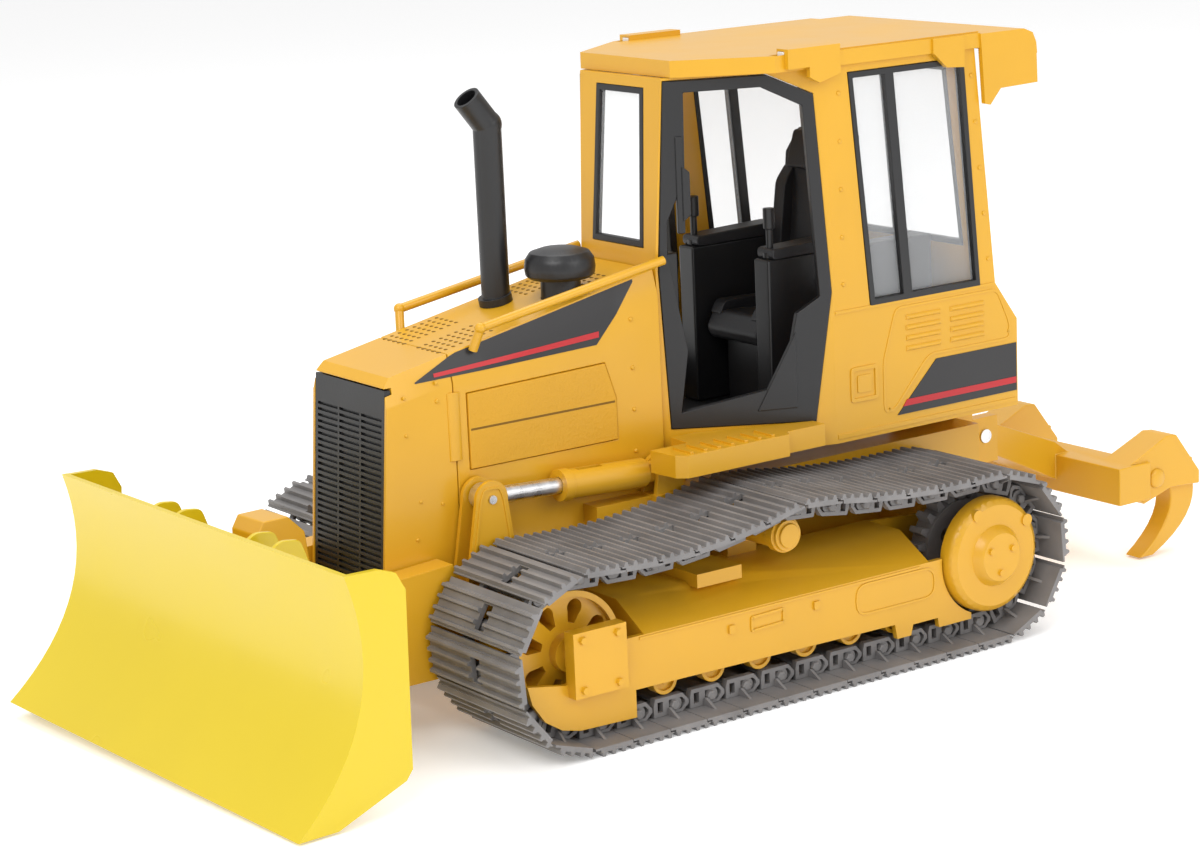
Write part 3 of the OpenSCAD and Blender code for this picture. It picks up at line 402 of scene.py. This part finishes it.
def sidePrism(bm, outline, x, depth, hole=None):
    # A raised shape on both sides of the machine, or a rim when it has a hole
    sunk = -0.1
    for sign in (1, -1):
        base, top = ([bm.verts.new(place(sign * (x + d), y, z)) for y, z in outline] for d in (sunk, depth))
        if hole is None:
            bridge(bm, [base, top])
            continue
        innerBase, innerTop = ([bm.verts.new(place(sign * (x + d), y, z)) for y, z in hole]
                               for d in (sunk, depth))
        rings = (base, top, innerTop, innerBase)
        count = len(outline)
        for first, second in zip(rings, rings[1:] + rings[:1]):
            for k in range(count):
                n = (k + 1) % count
                bm.faces.new((first[k], first[n], second[n], second[k]))


def rim(bm, outline, x, depth, width):
    sidePrism(bm, outline, x, depth, inset(outline, width))


def pieceFrom(name, build, material, body, bevel=0.15):
    bm = bmesh.new()
    build(bm)
    obj = addPiece(name, meshFrom(name, bm, radians(32)), material, body)
    if bevel:
        addBevel(obj, bevel, 2)
    return obj


# The hood: its top slopes up towards the cab, and its upper edges lean in
hoodShape = {"half": 22.5, "height": 115, "slope": 0.196, "front": -16, "shoulder": 9, "lean": 2.6}
# Each field of holes runs from one x to another, and from one y to another
hoodHoleShape = {"step": 2.9, "radius": 0.85, "depth": 0.06,
                 "fields": ((4, 16.5, 4, 27), (-16.5, -4, 4, 27), (-16.5, -4, 52, 76), (-1, 16.5, 66, 76))}


def hoodTop(y):
    return hoodShape["height"] + hoodShape["slope"] * (y - hoodShape["front"])


def hoodSide(y, z, lift):
    # How far out the side of the hood stands there, raised by a small amount
    over = max(0.0, z - hoodTop(y) + hoodShape["shoulder"])
    return hoodShape["half"] - over / hoodShape["shoulder"] * hoodShape["lean"] + lift


def hoodSheet(bm, low, high, start, end, lift, steps=30):
    # A thin sheet that follows the side of the hood between two lines, on both sides
    for sign in (1, -1):
        columns = []
        for i in range(steps + 1):
            y = start + (end - start) * i / steps
            bend = hoodTop(y) - hoodShape["shoulder"]
            bottom, top = low(y), high(y)
            levels = [bottom, min(max(bend, bottom + 0.02), top - 0.01), top]
            columns.append([bm.verts.new(place(sign * hoodSide(y, z, lift), y, z)) for z in levels])
        for left, right in zip(columns, columns[1:]):
            for a, b in ((0, 1), (1, 2)):
                bm.faces.new((left[a], right[a], right[b], left[b]))


def line(y0, z0, y1, z1):
    return lambda y: z0 + (z1 - z0) * (y - y0) / (y1 - y0)


def hoodHoles():
    slopeTurn = atan2(hoodShape["slope"], 1)
    step = hoodHoleShape["step"]
    spots = []
    for x0, x1, y0, y1 in hoodHoleShape["fields"]:
        for i in range(int((x1 - x0) / step) + 1):
            for j in range(int((y1 - y0) / step) + 1):
                x, y = x0 + i * step, y0 + j * step
                spots.append((place(x, y, hoodTop(y)), (slopeTurn, -pi / 2, 0)))
    # The holes are low dark dots; their colour is painted shade, standing in for the shade inside each hole
    stamp = dome(hoodHoleShape["radius"], hoodHoleShape["depth"], 8, 0.8)
    scatter("hoodHoles", stamp, spots, "holeShadeAndSeamDark", "machine")


# Nose: an upright half-round bar beside its seam, on each side
noseBar = {"front": 1.6, "halfWidth": 2.4, "height": 1.1, "root": 22.4, "low": 85, "high": 107, "steps": 8}


def noseFittings(bm):
    steps = noseBar["steps"]
    profile = [(noseBar["front"] + noseBar["halfWidth"] * (1 - cos(pi * k / steps)),
                noseBar["height"] * sin(pi * k / steps)) for k in range(steps + 1)]
    for sign in (1, -1):
        low, high = ([bm.verts.new(place(sign * (noseBar["root"] + d), y, z)) for y, d in profile]
                     for z in (noseBar["low"], noseBar["high"]))
        for k in range(steps):
            bm.faces.new((low[k], low[k + 1], high[k + 1], high[k]))
        bm.faces.new(high)
        bm.faces.new(low[::-1])
        bm.faces.new((low[0], high[0], high[steps], low[steps]))


hoodHoles()
pieceFrom("noseFittings", noseFittings, "bodyYellow", "machine", 0.2)

# Side panels: the dark line where the two halves of each panel meet
panelSeam = {"x": 22.95, "height": 0.12, "outline": ((9.8, 93.7), (66, 93.7), (66, 94.4), (9.8, 94.4))}
pieceFrom("panelSeam", lambda bm: sidePrism(bm, panelSeam["outline"], panelSeam["x"], panelSeam["height"]),
          "holeShadeAndSeamDark", "machine", 0)

# Decals: dark shapes with one plain red stripe each and no lettering
decalShape = {"front": -9, "corner": 60, "rear": 77, "edge": 0.5, "lift": 0.1,
              "cabX": 44.02, "cabDepth": 0.25,
              "cabOutline": ((169, 75.5), (187, 92.5), (224.3, 92.5), (224.3, 75.5))}
stripeShape = {"front": -2, "rear": 61, "lift": 0.22, "cabX": 44.2, "cabDepth": 0.2,
               "cabOutline": ((171.6, 78.2), (173.4, 80.4), (224, 80.4), (224, 78.2))}


def decalGround(bm):
    # The upper edge climbs from the tip until it meets the top edge of the hood
    def upper(y):
        return hoodTop(y) - decalShape["edge"]

    def fromTip(y):
        return min(upper(y), 112 + (y - decalShape["front"]) * 0.45)

    corner = decalShape["corner"]
    lift = decalShape["lift"]
    hoodSheet(bm, line(-9, 111.6, 60, 113.7), fromTip, decalShape["front"], corner, lift)
    hoodSheet(bm, line(60, 113.7, 78, 133), upper, corner, decalShape["rear"], lift, 12)
    sidePrism(bm, decalShape["cabOutline"], decalShape["cabX"], decalShape["cabDepth"])


def decalStripe(bm):
    hoodSheet(bm, line(-2, 112.6, 61, 116.1), line(-2, 113.8, 61, 118.1), stripeShape["front"],
              stripeShape["rear"], stripeShape["lift"])
    sidePrism(bm, stripeShape["cabOutline"], stripeShape["cabX"], stripeShape["cabDepth"])


decalDark = pieceFrom("decalDark", decalGround, "decalDark", "machine", 0)
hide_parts("decals")
pieceFrom("decalStripe", decalStripe, "stripeRed", "machine", 0)

# Rear of the cab: a raised panel rim, a latch, two ribs, vents and rivets
cabSide = {"x": 44.0, "rim": 0.5, "ventMiddles": (181.5, 201.5), "ventRows": (98, 101.6, 105.2, 108.8),
           "rivetRows": (124, 140, 156, 172, 188), "frontRivets": 146.5, "rearRivets": 212.2, "rearLean": 0.1}
rivetShape = {"radius": 0.75, "height": 0.5}


def cabFittings(bm):
    x, raised = cabSide["x"], cabSide["rim"]
    rim(bm, rounded([(163, 77), (163, 95), (169, 113), (216, 113), (222, 100), (222, 94), (184, 94),
                     (168, 77)], 3), x, raised * 0.5, 0.9)
    rim(bm, rounded([(148.5, 83), (160.5, 83), (160.5, 95), (148.5, 95)], 1.5), x, raised, 1.3)
    sidePrism(bm, rounded([(151.5, 86), (157.5, 86), (157.5, 92), (151.5, 92)], 0.8), x, raised * 0.8)
    sidePrism(bm, [(142.6, 114.2), (214.6, 114.2), (214.2, 115.3), (142.6, 115.3)], x, raised * 0.6)
    sidePrism(bm, [(142.6, 71.5), (224, 71.5), (224, 73), (142.6, 73)], x, raised * 0.6)


def rivets(name, spots, x, radius=rivetShape["radius"], height=rivetShape["height"]):
    scatter(name, dome(radius, height), bothFaces(spots, x), "bodyYellow", "machine")


pieceFrom("cabFittings", cabFittings, "bodyYellow", "machine")
ventSpots = [(y, z) for y in cabSide["ventMiddles"] for z in cabSide["ventRows"]]
scatter("cabVents", bar(1.7, 15.5, 0.7, 0.5), bothFaces(ventSpots, cabSide["x"]), "bodyYellow", "machine")
frontRivets = [(cabSide["frontRivets"], z) for z in cabSide["rivetRows"]]
rearRivets = [(cabSide["rearRivets"] - (z - 118) * cabSide["rearLean"], z) for z in cabSide["rivetRows"]]
rivets("cabRivets", frontRivets + rearRivets, cabSide["x"])
hoodRivets = [(y, hoodTop(y) - 12.5) for y in (-2, 74)] + [(74, 90), (74, 76), (74, 104)]
rivets("hoodRivets", hoodRivets, hoodShape["half"])

# Side frames of the tracks: rims, small blocks, a rib and the bolts of the idler's yoke
frameSide = {"x": 75.5, "yokeX": 79.5, "rim": 0.5, "bolts": ((9.8, 37), (23, 37), (9.8, 21), (23, 21)),
             "boltRadius": 1.35, "boltHeight": 1.1}


def frameFittings(bm):
    x, raised = frameSide["x"], frameSide["rim"]
    rim(bm, rounded([(78, 24.2), (92, 24.6), (92, 30), (78, 29.6)], 1), x, raised, 1)
    for y, z in ((69, 25.6), (104, 26.4)):
        block = [(y, z), (y + 2.5, z), (y + 2.5, z + 2.8), (y, z + 2.8)]
        sidePrism(bm, rounded(block, 0.5), x, raised * 1.6)
    rim(bm, rounded([(122, 20), (157, 20), (157, 31), (122, 31)], 5), x, raised * 0.7, 0.9)
    sidePrism(bm, [(34, 31.2), (150, 31.2), (150, 32), (34, 32)], x, raised * 0.7)


pieceFrom("frameFittings", frameFittings, "bodyYellow", "machine")
scatter("yokeBolts", dome(frameSide["boltRadius"], frameSide["boltHeight"], 6, 0.85),
        bothFaces(frameSide["bolts"], frameSide["yokeX"]), "bodyYellow", "machine")

# Blade and yoke: fins on the back of the blade and the chamfered box over the yoke
bladeBack = {"yaw": 3.6, "pivot": -49, "fins": (-35, -21, 21, 35), "finThick": 1.6, "boxHalf": 7.5}


def yawed(x, y, z):
    # A place that turns with the blade about the upright pin of the yoke
    turn = radians(bladeBack["yaw"])
    dy = y - bladeBack["pivot"]
    return place(x * cos(turn) - dy * sin(turn), bladeBack["pivot"] + x * sin(turn) + dy * cos(turn), z)


def yawedPrism(bm, outline, middle, half):
    bridge(bm, [[bm.verts.new(yawed(x, y, z)) for y, z in outline] for x in (middle - half, middle + half)])


def bladeFins(bm):
    outline = rounded([(-74.4, 48), (-74.6, 62), (-76.6, 72), (-71, 75.5), (-64, 74.5), (-61, 66),
                       (-66, 50)], 2)
    for x in bladeBack["fins"]:
        yawedPrism(bm, outline, x, bladeBack["finThick"] / 2)


def yokeBox(bm):
    yawedPrism(bm, [(-61.5, 51.2), (-61.5, 70), (-59, 74), (-50, 74), (-44, 68), (-42, 51.2)], 0,
               bladeBack["boxHalf"])


pieceFrom("bladeFins", bladeFins, "bladeYellow", "blade", 0.3)
pieceFrom("yokeBox", yokeBox, "bodyYellow", "blade_yoke", 0.5)

# Ripper: a round cap on the outer face of each bracket
ripperCaps = {"radius": 3.6, "height": 1.0, "edge": 0.3, "forward": 8, "below": 4}
shankLow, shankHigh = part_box("ripper_shank_left")
capY = ((shankLow[1] + shankHigh[1]) / 2 - yShift) / mm - ripperCaps["forward"]
capZ = shankHigh[2] / mm - ripperCaps["below"]
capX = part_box("ripper_frame")[1][0] / mm - ripperCaps["height"] - ripperCaps["edge"]
scatter("ripperCaps", dome(ripperCaps["radius"], ripperCaps["height"], 24, 0.75),
        bothFaces([(capY, capZ)], capX), "bodyYellow", "ripper")

# Nose: small rivets on both sides
rivets("noseRivets", [(-14, 108), (-14, 96), (-10, 74), (-12, 62), (-2, 111), (-2, 72)], hoodShape["half"],
       0.6, 0.4)

# Lift frame: a raised rim round each ear, on its outer face
earShape = {"y": 10, "z": 73, "low": 41, "out": 32.8, "raised": 0.35, "rim": 0.8}


def earRims(bm):
    y, z, low = earShape["y"], earShape["z"], earShape["low"]
    outline = rounded([(y - 10.6, low), (y + 9, low), (y + 4.6, z + 0.5), (y + 3, z + 4), (y - 3, z + 4),
                       (y - 4.6, z + 0.5)], 1.5)
    rim(bm, outline, earShape["out"], earShape["raised"], earShape["rim"])


pieceFrom("earRims", earRims, "bodyYellow", "lift_frame", 0.1)

# Doors: a moulded pull bar near the front edge of each frame, and a deeper lower corner.
# The outlines run along the door from its front edge, and upwards.
doorShape = {"front": (21, 86), "rear": (44, 142), "inner": -1.2, "outer": 1.1,
             "outlines": (((8, 146), (10.5, 146), (10.5, 178), (8, 178)),
                          ((9.2, 149), (12.6, 152), (12.6, 166), (9.2, 169)),
                          ((33, 84), (47, 84), (47, 110)))}


def doorFittings(side):
    def build(bm):
        sign = mirrored(side)
        front, rear = Vector(doorShape["front"]), Vector(doorShape["rear"])
        along = (rear - front).normalized()
        out = Vector((along.y, -along.x))
        for outline in doorShape["outlines"]:
            loops = []
            for depth in (doorShape["inner"], doorShape["outer"]):
                spots = [(front + along * t + out * depth, z) for t, z in outline]
                loops.append([bm.verts.new(place(sign * at.x, at.y, z)) for at, z in spots])
            bridge(bm, loops)
    return build


for side in sides:
    pieceFrom("doorFittings_" + side, doorFittings(side), "blackPlastic", bodyOf("door_frame_" + side), 0.4)

# Seat: bolsters along both edges, a head rest and an arm rest pad on each console
seatShape = {"inner": 8.5, "bolster": 5.4, "headHalf": 9, "padInner": 16.6, "padWidth": 8.6, "padLow": 132}


def seatFittings(bm):
    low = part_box("seat")[0]
    y, z = (low[1] - yShift) / mm + 1.5, low[2] / mm
    inner, width, pad = seatShape["inner"], seatShape["bolster"], seatShape["padLow"]
    sidePrism(bm, rounded([(y, z + 9), (y + 3, z + 14), (y + 26, z + 13.4), (y + 29, z + 8)], 2),
              inner, width)
    sidePrism(bm, rounded([(y + 29, z + 14), (y + 26.5, z + 18), (y + 31, z + 52), (y + 36, z + 58),
                           (y + 38, z + 52), (y + 33, z + 14)], 2), inner, width)
    sidePrism(bm, rounded([(y + 32, z + 57), (y + 36, z + 70), (y + 42, z + 69.5), (y + 39, z + 57)], 1.5),
              0.1, seatShape["headHalf"])
    sidePrism(bm, rounded([(y - 2, pad), (y - 2, pad + 3.6), (y + 34, pad + 4.6), (y + 36, pad)], 1.5),
              seatShape["padInner"], seatShape["padWidth"])


pieceFrom("seatFittings", seatFittings, "seatBlack", "machine", 0.9)


# Track links

linkShape = {"chainX": 59, "rail": 13.6, "webReach": 5.6, "webTop": 0.8, "webHeight": 2.6, "webHalf": 0.5,
             "pinAlong": 2.0, "pinHeight": 3.0, "headRings": ((-0.2, 1.7), (1.1, 1.7), (1.4, 1.3))}


def islands(bm):
    # The separate solids in a mesh, each as a list of its corners
    seen = set()
    for vert in bm.verts:
        if vert in seen:
            continue
        island, queue = [], [vert]
        seen.add(vert)
        while queue:
            here = queue.pop()
            island.append(here)
            for edge in here.link_edges:
                other = edge.other_vert(here)
                if other not in seen:
                    seen.add(other)
                    queue.append(other)
        yield island


def linkPlaces(side):
    # Where each shoe lies and how it is turned, read from the shoes: their largest face is the inner one
    bm = bmesh.new()
    bm.from_mesh(nodes["track_shoes_" + side].data)
    bmesh.ops.remove_doubles(bm, verts=bm.verts, dist=0.002 * mm)
    places = []
    for island in islands(bm):
        normals = {}
        for face in {face for item in island for face in item.link_faces}:
            n = face.normal
            if abs(n.x) < 0.1:
                key = (round(n.y, 1), round(n.z, 1))
                area, total = normals.get(key, (0.0, Vector()))
                normals[key] = (area + face.calc_area(), total + n * face.calc_area())
        inner = max(normals.values(), key=lambda item: item[0])[1].normalized()
        corners = [item.co for item in island]
        depth = max(co.dot(inner) for co in corners)
        along = Vector((0, inner.z, -inner.y))
        middle = (max(co.dot(along) for co in corners) + min(co.dot(along) for co in corners)) / 2
        places.append((inner, inner * depth + along * middle))
    bm.free()
    return places


def linkStamp():
    # What stands on the inside of one shoe, outside the rails: a web and the head of the pin
    rail, height, half = linkShape["rail"], linkShape["webHeight"], linkShape["webHalf"]
    pinY, pinZ = linkShape["pinAlong"], linkShape["pinHeight"]
    web = ((rail, 0), (rail + linkShape["webReach"], 0), (rail + linkShape["webTop"], height), (rail, height))
    bm = bmesh.new()
    for sign in (1, -1):
        bridge(bm, [[bm.verts.new((sign * x * mm, y * mm, z * mm)) for x, z in web] for y in (-half, half)])
        bridge(bm, [[bm.verts.new((sign * (rail + x) * mm, (pinY + r * cos(pi * k / 3)) * mm,
                                   (pinZ + r * sin(pi * k / 3)) * mm)) for k in range(6)]
                    for x, r in linkShape["headRings"]])
    return meshFrom("linkStamp", bm)


for side in sides:
    chainX = mirrored(side) * linkShape["chainX"] * mm
    spots = [(Vector((chainX, spot.y, spot.z)), (atan2(-inner.y, inner.z), 0, 0))
             for inner, spot in linkPlaces(side)]
    scatter("linkWebs_" + side, linkStamp(), spots, "trackGrey", bodyOf("track_shoes_" + side))
print("details added")


# Camera, light and floor

studio = {"cameraPlace": (807.3, -489.9, 305.9), "right": (0.58150, 0.81235, -0.04425),
          "up": (-0.15797, 0.16611, 0.97338), "lens": 90.4, "world": 0.72, "floorTone": 0.96,
          "floorGlow": 0.22}


def addCamera():
    data = bpy.data.cameras.new("camera")
    data.lens = studio["lens"]
    data.sensor_width = 36
    data.clip_end = 20
    obj = bpy.data.objects.new("camera", data)
    right, up = Vector(studio["right"]).normalized(), Vector(studio["up"]).normalized()
    back = right.cross(up).normalized()
    up = back.cross(right)
    obj.matrix_world = Matrix((right, up, back)).transposed().to_4x4()
    obj.location = place(*studio["cameraPlace"])
    bpy.context.scene.collection.objects.link(obj)
    bpy.context.scene.camera = obj


def addLight(name, where, aimHeight, size, power):
    data = bpy.data.lights.new(name, "AREA")
    data.shape = "RECTANGLE"
    data.size, data.size_y = size
    data.energy = power
    obj = bpy.data.objects.new(name, data)
    obj.location = where
    obj.rotation_euler = (Vector((0, 0, aimHeight)) - Vector(where)).to_track_quat("-Z", "Y").to_euler()
    bpy.context.scene.collection.objects.link(obj)


def addStudio():
    world = bpy.data.worlds.new("studio")
    bpy.context.scene.world = world
    world.use_nodes = True
    background = world.node_tree.nodes["Background"]
    background.inputs["Color"].default_value = (1, 1, 1, 1)
    background.inputs["Strength"].default_value = studio["world"]
    addLight("keyLight", (0.55, -0.95, 1.05), 0.08, (0.9, 0.7), 9)
    addLight("sideLight", (1.25, 0.35, 0.75), 0.08, (0.8, 0.8), 5)
    addLight("topLight", (-0.3, 0.2, 1.4), 0.05, (1.2, 1.2), 10)
    floorMat, tree, shader = nodeTree("paleFloor")
    tone = studio["floorTone"]
    shader.inputs["Base Color"].default_value = (tone, tone, tone, 1)
    shader.inputs["Roughness"].default_value = 0.7
    shader.inputs["Emission Color"].default_value = (1, 1, 1, 1)
    shader.inputs["Emission Strength"].default_value = studio["floorGlow"]
    bpy.ops.mesh.primitive_plane_add(size=12, location=(0, 0, 0))
    floor = bpy.context.object
    floor.name = "paleFloor"
    floor.data.materials.append(floorMat)
    bpy.context.scene.view_settings.view_transform = "Standard"


addCamera()
addStudio()
print("studio set")
